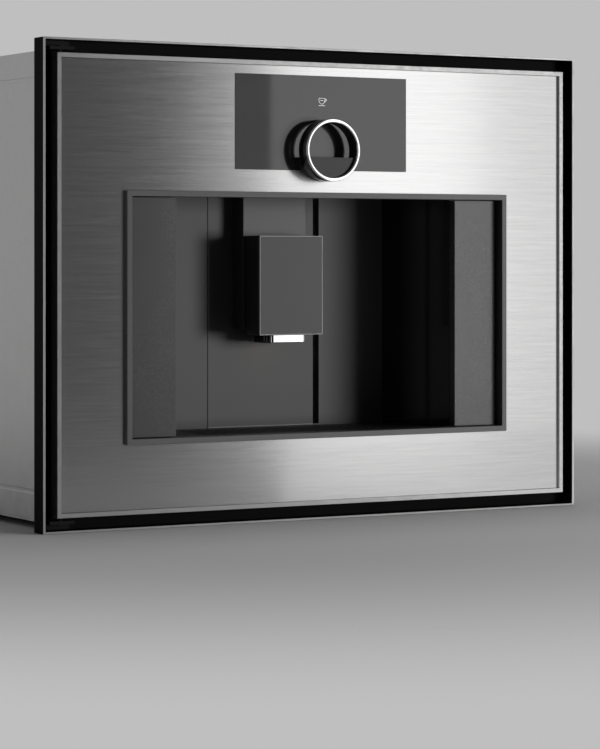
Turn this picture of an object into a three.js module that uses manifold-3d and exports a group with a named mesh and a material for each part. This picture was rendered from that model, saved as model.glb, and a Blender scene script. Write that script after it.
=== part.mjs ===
// Built-in coffee machine for a 560 mm wide, 450 mm high kitchen opening.
// Millimetres, +Z up, the front faces -Y. Places are measured from the outer frame: x = 0 is
// its middle, y = 0 the plane of its front edge and z = 0 its bottom edge. A last group moves
// the whole machine so that its origin is the centre of its footprint.

import * as THREE from 'three';
import { mergeVertices } from 'three/addons/utils/BufferGeometryUtils.js';
import Module from 'manifold-3d';

const wasm = await Module();
wasm.setup();

// Clearances
const seatGap = 0.3; // between pieces that rest on or in each other
const runGap = 0.4; // between pieces that slide or turn in each other
const liftClearance = 6; // above and beside what moves a long way

// Outer frame
const frameWidth = 594;
const frameHeight = 455;
const frameDepth = 20;
const frameWall = 2;
const flangeThickness = 2.5;
const flangeWidth = 23;
const landDepth = 0.8; // raised land of the flange that meets the kitchen unit
const landGap = 2.5; // between the land and the housing

// Housing behind the frame
const housingLap = 19; // how far the frame laps the kitchen unit at each side
const housingTopLap = 9;
const housingDepth = 430;
const sheet = 2;
const lipHeight = 12;
const ventWidth = 60;
const ventHeight = 4;
const ventPitch = 10;
const ventCount = 6;
const screwRadius = 2.5;
const footHeight = 6;
const footRadius = 15;
const footInset = 38;

// Door
const doorGap = 12; // dark gap round the door
const doorDepth = 14;
const borderWidth = 4;
const panelRecess = 3;
const panelThickness = 1.5;
const linerThickness = 2;
const pivotInset = 6; // hinge axis, from the door's edge and from its front
const pivotDepth = 8;
const pinRadius = 2;
const pinReach = 17;
const bracketThickness = 3;
const bracketLength = 25;

// Niche opening and its bezel in the door
const openingInset = 89.7; // from the frame's side
const openingBottom = 84;
const openingDrop = 145; // top edge, below the frame's top
const bezelWidth = 5.5;
const bezelProud = 2;
const bezelWall = 2.5;

// Display
const displayWidth = 192;
const displayDrop = 27; // top edge, below the frame's top
const displayHeight = 91;
const moduleInset = 6;
const moduleDepth = 15;
const boardThickness = 1.6;
const coverWall = 2;
const coverClearance = 4; // round the cover where the door swings past

// Control ring
const ringRadius = 30.15;
const ringInnerRadius = 26.6;
const ringDrop = 99; // its axis, below the frame's top
const ringProud = 19.6; // front of the rim, ahead of the frame's front
const ringRear = 4.3;
const rimDepth = 2.4;
const sleeveWall = 1;
const chordDrop = 6.9; // flat top of the block that carries the ring, below the axis
const stemWidth = 16;
const stemHeight = 7;
const ringSides = 72;

// Niche behind the opening
const fasciaWidth = 48.4;
const fasciaGap = 2.4; // open gap between the fascia and the door's bezel
const fasciaFront = 7.5;
const fasciaWall = 2;
const nicheSplay = 18; // how much narrower each side is at the back
const nicheBack = 116;
const ceilingDrop = 99; // below the frame's top
const shellWall = 2.5;
const railSpace = 10; // behind the back sheet, for the lift's rail
const liftSlotWidth = 58;
const hoseSlotStart = 56.4; // nearer side of the dark slot, from the middle
const hoseSlotWidth = 6.8;
const hoseSlotLedge = 1.5; // bridge under the slot
const backSheet = 2;
const bulkheadSheet = 2;

// Cup deck, grid and tray
const deckTop = 83;
const deckThickness = 6;
const gridInset = 20.5; // from the niche's rear corner
const gridFront = 30;
const gridDepth = 76;
const gridThickness = 3.5;
const gridLedge = 4;
const gridBars = 23;
const slotWidth = 5;
const trayWidth = 248;
const trayDepth = 226;
const trayHeight = 62;
const trayWall = 2;
const floatRadius = 12;
const floatHeight = 10;
const floatTravel = 12;
const floatInset = 32; // axis, from the tray's side

// Coffee outlet on its lift
const columnWidth = 71.7;
const columnFront = 95;
const columnDepth = 19;
const columnRise = 5; // foot of the column, above the head's
const columnDrop = 125; // top edge, below the frame's top
const columnWall = 2.5;
const headWidth = 71.7;
const headFront = 61.7;
const headDepth = 27.7; // front to the step where its neck starts
const headHeight = 97.7;
const headDrop = 180.9; // top edge, below the frame's top
const headWall = 2;
const faceThickness = 2.5;
const outletWidth = 38;
const outletFront = 68;
const outletDepth = 35;
const outletHeight = 8.2;
const nozzleRadius = 3;
const nozzlePitch = 18;
const liftUp = 76;
const liftDown = 14;
const railWidth = 20;
const railDepth = 9;
const carriageWidth = 48;
const carriageHeight = 110;

// Water tank
const tankDepth = 171;
const tankHeight = 286;
const tankFront = 24;
const tankWall = 2.5;
const tankClearance = 4;
const tankLidHeight = 5;
const spigotRadius = 7;
const spigotHeight = 24;

// Bean hopper, grinder and its selector
const hopperFront = 32;
const hopperDepth = 183;
const hopperHeight = 76;
const hopperWall = 2.5;
const hopperGap = 24.15; // from the column's side
const hopperLidHeight = 3;
const grinderInset = 167; // axis, from the frame's side
const grinderY = 185;
const grinderRadius = 45;
const grinderWall = 6;
const grinderHeight = 75;
const chuteRadius = 14;
const burrRadius = 32;
const burrHeight = 10;
const shaftRadius = 5;
const motorRadius = 36;
const motorHeight = 80;
const selectorRadius = 14;
const selectorInset = 57; // axis, from the frame's side
const selectorDrop = 123; // axis, below the frame's top

// Brew unit
const brewY = 180;
const brewBottom = 92;
const brewDrop = 115; // top edge, below the frame's top
const brewWidth = 80;
const brewDepth = 80;
const brewPlate = 5;
const chamberRadius = 22;
const chamberWall = 4;
const chamberDrop = 160; // its floor, below the brew unit's top
const chamberHeight = 60;
const pistonHeight = 12;
const pistonDrop = 82; // its underside when up, below the brew unit's top
const shankRadius = 9;
const spindleRadius = 5;
const guideDrop = 48; // below the brew unit's top
const brewMotorRadius = 20;
const brewMotorHeight = 60;

// Pump, heater, hoses and electrics
const pumpInset = 227; // near end, from the frame's side
const pumpY = 350;
const pumpLength = 80;
const pumpRadius = 22;
const pumpHeight = 60;
const heaterInset = 147; // middle, from the frame's side
const heaterY = 320;
const heaterWidth = 100;
const heaterDepth = 80;
const heaterHeight = 140;
const legHeight = 32;
const legWidth = 12;
const hoseRadius = 4;
const stubLength = 8;
const hoseLead = 16; // straight run at the end of a hose
const boardWidth = 160;
const boardHeight = 150;
const boardInset = 127; // middle, from the frame's side
const boardDrop = 45; // top edge, below the frame's top
const boardGap = 10; // ahead of the rear panel
const postRadius = 4;
const inletWidth = 40;
const inletHeight = 28;
const inletInset = 87; // middle, from the frame's side
const inletBottom = 40;
const inletDepth = 25;

// Latch
const latchInset = 43; // axis, from the frame's side
const latchHeight = 230;
const latchWidth = 24;
const latchDepth = 28;
const plungerRadius = 4;
const plungerTravel = 4;
const strikerThickness = 1.5;

// Places worked out from the sizes above
const flangeFront = frameDepth - flangeThickness;
const housingHalf = frameWidth / 2 - housingLap;
const innerHalf = housingHalf - sheet;
const housingTop = frameHeight - housingTopLap;
const baseTop = footHeight + sheet;
const innerTop = housingTop - sheet;
const chassisBack = frameDepth + sheet;
const rearFace = frameDepth + housingDepth;
const innerRear = rearFace - sheet;

const doorHalf = frameWidth / 2 - frameWall - doorGap;
const doorBottom = frameWall + doorGap;
const doorTop = frameHeight - frameWall - doorGap;
const panelHalf = doorHalf - borderWidth;
const panelBottom = doorBottom + borderWidth;
const panelTop = doorTop - borderWidth;
const backingFront = panelRecess + panelThickness;
const linerFront = doorDepth - linerThickness;
const pivotX = pivotInset - doorHalf;

const openingHalf = frameWidth / 2 - openingInset;
const openingTop = frameHeight - openingDrop;
const displayTop = frameHeight - displayDrop;
const displayBottom = displayTop - displayHeight;
const ringHeight = frameHeight - ringDrop;
const nicheTop = frameHeight - ceilingDrop;
const coverHalf = displayWidth / 2 + coverWall;
const coverBottom = displayBottom - coverWall;
const coverTop = displayTop + coverWall;
const coverBack = backingFront + moduleDepth + boardThickness + coverWall + seatGap;
const coverBay = [
  [-coverHalf - coverClearance, coverHalf + coverClearance],
  [doorDepth, coverBack + coverClearance],
  [coverBottom - coverClearance, coverTop + coverClearance],
];

const fasciaOuter = openingHalf - fasciaGap;
const nicheHalf = fasciaOuter - fasciaWidth;
const nicheRearHalf = nicheHalf - nicheSplay;
const gridWidth = 2 * (nicheRearHalf - gridInset);
const railBack = nicheBack + railSpace;
const bulkheadFront = railBack + backSheet;
const bulkheadBack = bulkheadFront + bulkheadSheet;
const ceilingTop = nicheTop + shellWall;
const deckBottom = deckTop - deckThickness;
const gridBack = gridFront + gridDepth;

const tankOuter = innerHalf - tankClearance;
const tankInner = fasciaOuter + tankClearance;
const tankTop = baseTop + tankClearance + tankHeight;
const trayBottom = baseTop + seatGap;
const trayFront = chassisBack + seatGap;
const floatX = trayWidth / 2 - floatInset;

const headTop = frameHeight - headDrop;
const headBottom = headTop - headHeight;
const columnTop = frameHeight - columnDrop;
const columnBottom = headBottom + columnRise;
const columnBack = columnFront + columnDepth;
const railTop = columnTop + liftUp + liftClearance;
const railBottom = columnTop - carriageHeight - liftDown - runGap;
const hopperLeft = columnWidth / 2 + hopperGap;
const hopperBottom = ceilingTop + seatGap;
const hopperTop = hopperBottom + hopperHeight;
const grinderTop = hopperBottom - hopperWall - 2 * seatGap;
const grinderBottom = grinderTop - grinderHeight;
const grinderX = frameWidth / 2 - grinderInset;
const selectorX = frameWidth / 2 - selectorInset;
const selectorZ = frameHeight - selectorDrop;

const brewTop = frameHeight - brewDrop;
const chamberBottom = brewTop - chamberDrop;
const pistonRest = brewTop - pistonDrop;
const guideHeight = brewTop - guideDrop;
const pumpX = frameWidth / 2 - pumpInset;
const heaterX = heaterInset - frameWidth / 2;
const boardX = boardInset - frameWidth / 2;
const boardBottom = frameHeight - boardDrop - boardHeight;
const inletX = frameWidth / 2 - inletInset;
const latchX = frameWidth / 2 - latchInset;

// Colours and finishes
const finish = (color, roughness, metalness) => new THREE.MeshStandardMaterial({ color, roughness, metalness });
const finishes = {
  steel: finish(0xb9bbbc, 0.35, 1),
  polished: finish(0xe4e5e6, 0.08, 1),
  anthracite: finish(0x3b3c3e, 0.5, 0.3),
  glossBlack: finish(0x060607, 0.08, 0),
  black: finish(0x101011, 0.6, 0),
  glass: finish(0x1b1c1d, 0.06, 0),
  zinc: finish(0x8d9092, 0.45, 1),
  clear: finish(0x9fb0b8, 0.1, 0),
  plastic: finish(0x2a2b2d, 0.55, 0),
  brass: finish(0xb08d4a, 0.4, 1),
  rubber: finish(0x151515, 0.9, 0),
  board: finish(0x1f5a3a, 0.6, 0),
  silicone: finish(0xd8d8d2, 0.4, 0),
};

// Solids
function solid(geometry) {
  geometry.deleteAttribute('normal');
  geometry.deleteAttribute('uv');
  const merged = mergeVertices(geometry);
  const vertProperties = new Float32Array(merged.attributes.position.array);
  const triVerts = new Uint32Array(merged.index.array);
  return new wasm.Manifold(new wasm.Mesh({ numProp: 3, vertProperties, triVerts }));
}

function geometryOf(body) {
  const { vertProperties, triVerts } = body.getMesh();
  const geometry = new THREE.BufferGeometry();
  geometry.setAttribute('position', new THREE.BufferAttribute(vertProperties, 3));
  geometry.setIndex(new THREE.BufferAttribute(triVerts, 1));
  geometry.computeVertexNormals();
  return geometry;
}

const join = (first, ...others) => others.reduce((sum, body) => sum.add(body), first);
const cut = (first, ...others) => others.reduce((rest, body) => rest.subtract(body), first);

// A block between two corners, given as its span along x, y and z.
function block([x0, x1], [y0, y1], [z0, z1]) {
  const geometry = new THREE.BoxGeometry(x1 - x0, y1 - y0, z1 - z0);
  return solid(geometry.translate((x0 + x1) / 2, (y0 + y1) / 2, (z0 + z1) / 2));
}

const both = (half) => [-half, half];
const about = (middle, width) => [middle - width / 2, middle + width / 2];

// A round bar along z, through the point x, y.
function post(radius, [z0, z1], x, y, sides = 40) {
  const geometry = new THREE.CylinderGeometry(radius, radius, z1 - z0, sides);
  return solid(geometry.rotateX(Math.PI / 2).translate(x, y, (z0 + z1) / 2));
}

// A round bar along y, through the point x, z.
function pin(radius, [y0, y1], x, z, sides = 40) {
  const geometry = new THREE.CylinderGeometry(radius, radius, y1 - y0, sides);
  return solid(geometry.translate(x, (y0 + y1) / 2, z));
}

// A round bar along x, through the point y, z.
function bar(radius, [x0, x1], y, z, sides = 40) {
  const geometry = new THREE.CylinderGeometry(radius, radius, x1 - x0, sides);
  return solid(geometry.rotateZ(Math.PI / 2).translate((x0 + x1) / 2, y, z));
}

// A floor plan, as x, y corners, raised from z0 to z1.
function prism(corners, [z0, z1]) {
  const shape = new THREE.Shape(corners.map(([x, y]) => new THREE.Vector2(x, y)));
  const geometry = new THREE.ExtrudeGeometry(shape, { depth: z1 - z0, bevelEnabled: false });
  return solid(geometry.translate(0, 0, z0));
}

// A hose along a smooth route, drawn as a full bar of its outer size.
function hose(route, radius = hoseRadius, sides = 10, steps = 44) {
  const path = new THREE.CatmullRomCurve3(route.map((point) => new THREE.Vector3(...point)));
  const section = new THREE.Shape();
  section.absarc(0, 0, radius, 0, Math.PI * 2);
  const options = { steps, curveSegments: sides / 2, extrudePath: path, bevelEnabled: false };
  return solid(new THREE.ExtrudeGeometry(section, options));
}

const pieces = [];
function piece(name, body, material) {
  const mesh = new THREE.Mesh(geometryOf(body), material);
  mesh.name = name;
  pieces.push(mesh);
}

// Outer frame: a thin wall round the door, with a flange that laps the kitchen unit.
function outerFrame() {
  const outer = block(both(frameWidth / 2), [0, frameDepth], [0, frameHeight]);
  const wallHole = block(both(frameWidth / 2 - frameWall), [-1, flangeFront],
    [frameWall, frameHeight - frameWall]);
  const flangeHole = block(both(frameWidth / 2 - flangeWidth), [0, frameDepth + 1],
    [flangeWidth, frameHeight - flangeWidth]);
  const land = cut(
    block(both(frameWidth / 2), [frameDepth - 1, frameDepth + landDepth], [0, frameHeight]),
    block(both(housingHalf + landGap), [frameDepth - 2, frameDepth + landDepth + 1],
      [footHeight - landGap, housingTop + landGap]));
  piece('outer_frame', join(cut(outer, wallHole, flangeHole), land), finishes.black);
}

// Housing: a pan, two sides, a top and a rear, with feet and a front chassis plate.
function housing() {
  const depth = [frameDepth, rearFace];
  const insideDepth = [chassisBack, innerRear];
  const lips = [-1, 1].map((side) => block(
    side < 0 ? [-innerHalf, sheet - innerHalf] : [innerHalf - sheet, innerHalf],
    insideDepth, [baseTop, baseTop + lipHeight]));
  const floor = block(both(housingHalf), depth, [footHeight, baseTop]);
  piece('base_pan', join(floor, ...lips), finishes.zinc);

  const screwHeights = [housingTop / 3, housingTop * 2 / 3];
  for (const [name, side] of [['left_side_panel', -1], ['right_side_panel', 1]]) {
    const span = side < 0 ? [-housingHalf, -innerHalf] : [innerHalf, housingHalf];
    const holes = screwHeights.map((z) => bar(screwRadius, [span[0] - 1, span[1] + 1], 2 * frameDepth, z, 16));
    piece(name, cut(block(span, depth, [baseTop, housingTop]), ...holes), finishes.zinc);
  }

  const topVents = [];
  const rearVents = [];
  for (let i = 0; i < ventCount; i += 1) {
    const slotY = about(rearFace - 4 * ventPitch - i * ventPitch, ventHeight);
    topVents.push(block(about(0, ventWidth), slotY, [innerTop - 1, housingTop + 1]));
    const slotZ = about(baseTop + 4 * ventPitch + i * ventPitch, ventHeight);
    rearVents.push(block(about(0, ventWidth), [innerRear - 1, rearFace + 1], slotZ));
  }
  const top = block(both(innerHalf), depth, [innerTop, housingTop]);
  piece('top_cover', cut(top, ...topVents), finishes.zinc);

  const rear = block(both(innerHalf), [innerRear, rearFace], [baseTop, innerTop]);
  const inletHole = block(about(inletX, inletWidth + 2 * seatGap), [innerRear - 1, rearFace + 1],
    [inletBottom - seatGap, inletBottom + inletHeight + seatGap]);
  piece('rear_panel', cut(rear, inletHole, ...rearVents), finishes.zinc);

  for (const [row, y] of [['front', frameDepth + footInset], ['rear', rearFace - footInset]]) {
    for (const [side, sign] of [['left', -1], ['right', 1]]) {
      const foot = post(footRadius, [0, footHeight], sign * (housingHalf - footInset), y, 24);
      piece(`${row}_${side}_foot`, foot, finishes.rubber);
    }
  }
}

// Plate behind the frame's flange, with openings for the niche, tank, hopper and tray.
function frontChassis() {
  const through = [frameDepth - 1, chassisBack + 1];
  const plate = block(both(innerHalf), [frameDepth, chassisBack], [baseTop, innerTop]);
  const nicheHole = block(both(nicheHalf + shellWall + seatGap), through, [deckBottom - seatGap, ceilingTop + seatGap]);
  const trayHole = block(both(trayWidth / 2 + tankClearance / 2), through, [baseTop + seatGap, deckBottom]);
  const tankHole = block([-tankOuter - 1, -tankInner + 1], through,
    [baseTop + tankClearance / 2, tankTop + 2 * tankLidHeight]);
  const hopperHole = block([hopperLeft - 1, tankOuter + 1], through, [ceilingTop + seatGap, innerTop - seatGap]);
  const plungerHole = pin(plungerRadius + runGap, through, latchX, latchHeight);
  const selectorHole = pin(shaftRadius + runGap, through, selectorX, selectorZ);
  piece('front_chassis', cut(plate, nicheHole, trayHole, tankHole, hopperHole, block(...coverBay),
    plungerHole, selectorHole), finishes.black);
}

// Wall between the niche and the works, notched round the tank, the tray and the hopper.
function bulkhead() {
  const through = [bulkheadFront - 1, bulkheadBack + 1];
  const plate = block(both(innerHalf - sheet - seatGap), [bulkheadFront, bulkheadBack], [baseTop, innerTop]);
  const tankNotch = block([-innerHalf, -tankInner + tankClearance], through,
    [baseTop - 1, tankTop + 2 * tankLidHeight]);
  const trayNotch = block(both(trayWidth / 2 + tankClearance), through, [baseTop - 1, deckBottom - seatGap]);
  const hopperNotch = block([hopperLeft - tankClearance, innerHalf], through, [ceilingTop, innerTop + 1]);
  piece('bulkhead', cut(plate, tankNotch, trayNotch, hopperNotch), finishes.zinc);
}

// Door: border, sheet, backing, bezel and liner. The hinge axis stands just inside its left edge.
function door() {
  const pinHole = post(pinRadius + runGap, [doorBottom - 1, doorTop + 1], pivotX, pivotDepth, 24);
  const border = cut(
    block(both(doorHalf), [0, doorDepth], [doorBottom, doorTop]),
    block(both(panelHalf), [-1, doorDepth + 1], [panelBottom, panelTop]), pinHole);
  piece('door_frame', border, finishes.steel);

  const sleeveHalf = openingHalf + bezelWall;
  const sleeveZ = [openingBottom - bezelWall, openingTop + bezelWall];
  const windowHole = (y) => block(both(sleeveHalf + seatGap), y, [sleeveZ[0] - seatGap, sleeveZ[1] + seatGap]);
  const stemZ = [ringHeight - ringRadius + 2, ringHeight - ringRadius + 2 + stemHeight];
  const stemHole = (y) => block(both(stemWidth / 2 + seatGap), y, [stemZ[0] - seatGap, stemZ[1] + seatGap]);
  const filling = (y) => block(both(panelHalf - seatGap), y, [panelBottom + seatGap, panelTop - seatGap]);

  const panelY = [panelRecess, backingFront];
  const openY = [panelRecess - 1, doorDepth + 1];
  const displayHole = block(both(displayWidth / 2 + seatGap), openY,
    [displayBottom - seatGap, displayTop + seatGap]);
  piece('door_panel', cut(filling(panelY), windowHole(openY), displayHole, stemHole(openY)), finishes.steel);

  const moduleHalf = displayWidth / 2 - moduleInset;
  const moduleZ = [displayBottom + moduleInset, displayTop - moduleInset];
  const moduleHole = block(both(moduleHalf + seatGap), openY, [moduleZ[0] - seatGap, moduleZ[1] + seatGap]);
  const backing = filling([backingFront, linerFront]);
  piece('door_backing', cut(backing, windowHole(openY), moduleHole, stemHole(openY), pinHole), finishes.plastic);

  const flange = block(both(openingHalf + bezelWidth), [-bezelProud, panelRecess],
    [openingBottom - bezelWidth, openingTop + bezelWidth]);
  const sleeve = block(both(sleeveHalf), [panelRecess, doorDepth], sleeveZ);
  const opening = block(both(openingHalf), [-bezelProud - 1, doorDepth + 1], [openingBottom, openingTop]);
  piece('niche_bezel', cut(join(flange, sleeve), opening), finishes.anthracite);

  const glass = block(both(displayWidth / 2), panelY, [displayBottom, displayTop]);
  piece('display_glass', glass, finishes.glass);
  const moduleBack = backingFront + moduleDepth;
  const screen = block(both(moduleHalf), [backingFront + seatGap, moduleBack], moduleZ);
  const board = block(both(moduleHalf - moduleInset), [moduleBack - 1, moduleBack + boardThickness],
    [moduleZ[0] + moduleInset, moduleZ[1] - moduleInset]);
  piece('display_module', join(screen, board), finishes.plastic);

  const cover = block(both(coverHalf), [linerFront, coverBack], [coverBottom, coverTop]);
  const coverHollow = block(both(displayWidth / 2), [linerFront - 1, coverBack - coverWall],
    [displayBottom, displayTop]);
  const striker = block(about(latchX, latchWidth - 4), [linerFront, doorDepth + strikerThickness],
    about(latchHeight, latchWidth - 4));
  const liner = join(filling([linerFront, doorDepth]), cover, striker);
  piece('door_liner', cut(liner, windowHole(openY), coverHollow), finishes.black);

  for (const [name, level, up] of [['upper', doorTop, 1], ['lower', doorBottom, -1]]) {
    const near = level + up * bracketThickness;
    const far = near + up * bracketThickness;
    const wall = level + up * (doorGap - seatGap);
    const span = (a, b) => [Math.min(a, b), Math.max(a, b)];
    const width = about(pivotX, bracketLength);
    const leaf = block(width, [pivotDepth - pinRadius - 3, flangeFront], span(near, far));
    const tab = block(width, [flangeFront - bracketThickness, flangeFront], span(near, wall));
    const shank = post(pinRadius, span(far, level - up * pinReach), pivotX, pivotDepth, 24);
    const head = post(pinRadius + 2, span(near, far + up), pivotX, pivotDepth, 24);
    piece(`${name}_hinge`, join(leaf, tab, shank, head), finishes.zinc);
  }
}

// Control ring: a block under a flat chord holds a sleeve, and the ring turns on the sleeve.
function controlRing() {
  const turned = (profile) => {
    const points = profile.map(([radius, y]) => new THREE.Vector2(radius, y));
    return solid(new THREE.LatheGeometry(points, ringSides).translate(0, 0, ringHeight));
  };
  const tube = (inner, outer, front, rear) => turned(
    [[inner, front], [outer, front], [outer, rear], [inner, rear], [inner, front]]);
  const rimBack = rimDepth - ringProud;
  const sleeveOuter = ringInnerRadius + sleeveWall;
  const sleeveFront = rimBack + runGap;

  const below = block(both(ringRadius + 1), [-ringProud, panelRecess],
    [ringHeight - ringRadius - 1, ringHeight - chordDrop]);
  const foot = pin(ringRadius, [runGap - ringRear, panelRecess], 0, ringHeight, ringSides).intersect(below);
  const core = pin(ringInnerRadius + sleeveWall / 2, [sleeveFront, runGap - ringRear], 0, ringHeight, ringSides)
    .intersect(below);
  const stemLow = ringHeight - ringRadius + 2;
  const stem = block(both(stemWidth / 2), [panelRecess - 1, linerFront - seatGap], [stemLow, stemLow + stemHeight]);
  const sleeve = tube(ringInnerRadius, sleeveOuter, sleeveFront, runGap - ringRear);
  piece('ring_carrier', join(sleeve, core, foot, stem), finishes.glossBlack);

  piece('control_ring', tube(sleeveOuter + runGap, ringRadius, rimBack, -ringRear), finishes.glossBlack);
  piece('ring_rim', tube(ringInnerRadius, ringRadius, -ringProud, rimBack), finishes.polished);
}

// Niche: splayed side walls, a stepped back, fascias beside the opening and the cup deck.
function niche() {
  const plan = (grow, front, back) => [
    [-nicheHalf - grow, front], [nicheHalf + grow, front],
    [nicheRearHalf + grow, back], [-nicheRearHalf - grow, back],
  ];
  const walls = cut(
    prism(plan(shellWall, frameDepth - flangeThickness, nicheBack), [deckTop, ceilingTop]),
    prism(plan(0, flangeFront - 1, nicheBack + 1), [deckTop - 1, nicheTop]));
  const collar = block(both(fasciaOuter), [flangeFront, frameDepth], [deckTop, ceilingTop]);
  const collarHole = block(both(nicheHalf), [flangeFront - 1, frameDepth + 1], [deckTop - 1, nicheTop]);
  const columnSlot = block(both(columnWidth / 2 + liftClearance), [columnFront - liftClearance, nicheBack + 1],
    [nicheTop - 1, ceilingTop + 1]);
  const shell = cut(join(walls, cut(collar, collarHole)), columnSlot, block(...coverBay));
  piece('niche_shell', shell, finishes.glossBlack);

  const through = [nicheBack - 1, nicheBack + backSheet + 1];
  const liftSlot = block(about(0, liftSlotWidth), through, [railBottom - runGap, nicheTop + 1]);
  const hoseSlot = block([hoseSlotStart, hoseSlotStart + hoseSlotWidth], through,
    [deckTop + hoseSlotLedge, nicheTop - 8 * hoseSlotLedge]);
  const back = block(both(nicheRearHalf + shellWall), [nicheBack, nicheBack + backSheet], [deckTop, nicheTop]);
  piece('niche_back', cut(back, liftSlot, hoseSlot), finishes.anthracite);

  const fasciaZ = [openingBottom + 0.6, openingTop - 0.6];
  for (const [name, side] of [['left_fascia', -1], ['right_fascia', 1]]) {
    const span = (inner, outer) => (side < 0 ? [-outer, -inner] : [inner, outer]);
    const skin = block(span(nicheHalf, fasciaOuter), [fasciaFront, flangeFront], fasciaZ);
    const hollow = block(span(nicheHalf + fasciaWall, fasciaOuter - fasciaWall),
      [fasciaFront + fasciaWall, flangeFront + 1], [fasciaZ[0] + fasciaWall, fasciaZ[1] - fasciaWall]);
    piece(name, cut(skin, hollow), finishes.anthracite);
  }

  const gridHalf = gridWidth / 2;
  const slab = prism(plan(shellWall, flangeFront, nicheBack + backSheet), [deckBottom, deckTop]);
  const gridSeat = block(both(gridHalf + runGap), [gridFront - runGap, gridBack + runGap],
    [deckTop - gridThickness - seatGap, deckTop + 1]);
  const gridWell = block(both(gridHalf - gridLedge), [gridFront + gridLedge, gridBack - gridLedge],
    [deckBottom - 1, deckTop + 1]);
  piece('niche_deck', cut(slab, gridSeat, gridWell), finishes.black);

  const slots = [];
  const pitch = (gridWidth - 4 * gridLedge) / gridBars;
  for (let i = 0; i < gridBars; i += 1) {
    const x = (i - (gridBars - 1) / 2) * pitch;
    slots.push(block(about(x, slotWidth), [gridFront + 2 * gridLedge, gridBack - 2 * gridLedge],
      [deckTop - gridThickness - 1, deckTop + 1]));
  }
  const grid = block(both(gridHalf), [gridFront, gridBack], [deckTop - gridThickness, deckTop]);
  piece('drip_grid', cut(grid, ...slots), finishes.black);
}

// Tray under the deck, the box for spent grounds that stands in it, and the level float.
function tray() {
  const low = trayBottom;
  const trayTop = low + trayHeight;
  const outer = block(both(trayWidth / 2), [trayFront, trayFront + trayDepth], [low, trayTop]);
  const inner = block(both(trayWidth / 2 - trayWall), [trayFront + trayWall, trayFront + trayDepth - trayWall],
    [low + trayWall, trayTop + 1]);
  const floatY = gridFront + gridDepth / 2;
  const guide = post(floatRadius / 4, [low + trayWall / 2, low + trayWall + floatHeight + floatTravel],
    floatX, floatY, 16);
  piece('drip_tray', join(cut(outer, inner), guide), finishes.plastic);

  const floatLow = low + trayWall + seatGap;
  const ring = cut(post(floatRadius, [floatLow, floatLow + floatHeight], floatX, floatY, 24),
    post(floatRadius / 4 + runGap, [floatLow - 1, floatLow + floatHeight + 1], floatX, floatY, 16));
  piece('tray_float', ring, finishes.silicone);

  const boxFront = bulkheadBack + tankClearance;
  const boxBack = trayFront + trayDepth - trayWall - seatGap;
  const boxHalf = trayWidth / 4;
  const boxBottom = low + trayWall + seatGap;
  const boxTop = deckBottom - 2;
  const box = cut(
    block(both(boxHalf), [boxFront, boxBack], [boxBottom, boxTop]),
    block(both(boxHalf - trayWall), [boxFront + trayWall, boxBack - trayWall], [boxBottom + trayWall, boxTop + 1]));
  piece('grounds_box', box, finishes.plastic);
}

// Outlet: head, face and chrome outlet on a column whose carriage slides on a fixed rail.
function outlet() {
  const rail = block(about(0, railWidth), [railBack - railDepth, bulkheadFront], [railBottom, railTop]);
  piece('lift_rail', rail, finishes.zinc);

  const carriageY = [columnBack - columnWall, railBack - runGap];
  const carriageZ = [columnTop - carriageHeight, columnTop];
  const carriage = cut(
    block(about(0, carriageWidth), carriageY, carriageZ),
    block(about(0, railWidth + 2 * runGap), [railBack - railDepth - runGap, railBack + 1],
      [carriageZ[0] - 1, carriageZ[1] + 1]));
  const column = cut(
    block(about(0, columnWidth), [columnFront, columnBack], [columnBottom, columnTop]),
    block(about(0, columnWidth - 2 * columnWall), [columnFront + columnWall, columnBack - columnWall],
      [columnBottom - 1, columnTop - columnWall]));
  piece('lift_column', join(column, carriage), finishes.anthracite);

  const shellFront = headFront + faceThickness + seatGap;
  const shellBack = headFront + headDepth;
  const neckWall = columnWidth - 2 * headWall;
  const shell = cut(
    join(block(about(0, headWidth), [shellFront, shellBack], [headBottom, headTop]),
      block(about(0, columnWidth), [shellBack - 1, columnFront - seatGap], [columnBottom, headTop])),
    block(about(0, headWidth - 2 * headWall), [shellFront + headWall, shellBack - headWall],
      [headBottom + headWall, headTop - headWall]),
    block(about(0, neckWall), [shellFront + headWall, columnFront + 1],
      [columnBottom + headWall, headTop - headWall]));
  const face = block(about(0, headWidth), [headFront, shellFront - seatGap], [headBottom, headTop]);
  piece('head_face', face, finishes.anthracite);

  const outletY = [outletFront, outletFront + outletDepth];
  const outletZ = [headBottom - outletHeight, headBottom - seatGap];
  const neckX = nozzlePitch / 2 + 2 * nozzleRadius;
  const neckY = about((shellFront + shellBack) / 2, 4 * nozzleRadius);
  const neck = block(both(neckX), neckY, [outletZ[0] + 1, headBottom + 3 * nozzleRadius]);
  const neckHole = block(both(neckX + seatGap), [neckY[0] - seatGap, neckY[1] + seatGap],
    [headBottom - 1, headBottom + headWall + 1]);
  const bores = [-1, 1].map((side) => post(nozzleRadius, [outletZ[0] - 1, headBottom + 4 * nozzleRadius],
    side * nozzlePitch / 2, (neckY[0] + neckY[1]) / 2, 20));
  piece('head_shell', cut(shell, neckHole), finishes.black);
  piece('outlet_block', cut(join(block(about(0, outletWidth), outletY, outletZ), neck), ...bores), finishes.polished);
}

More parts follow.
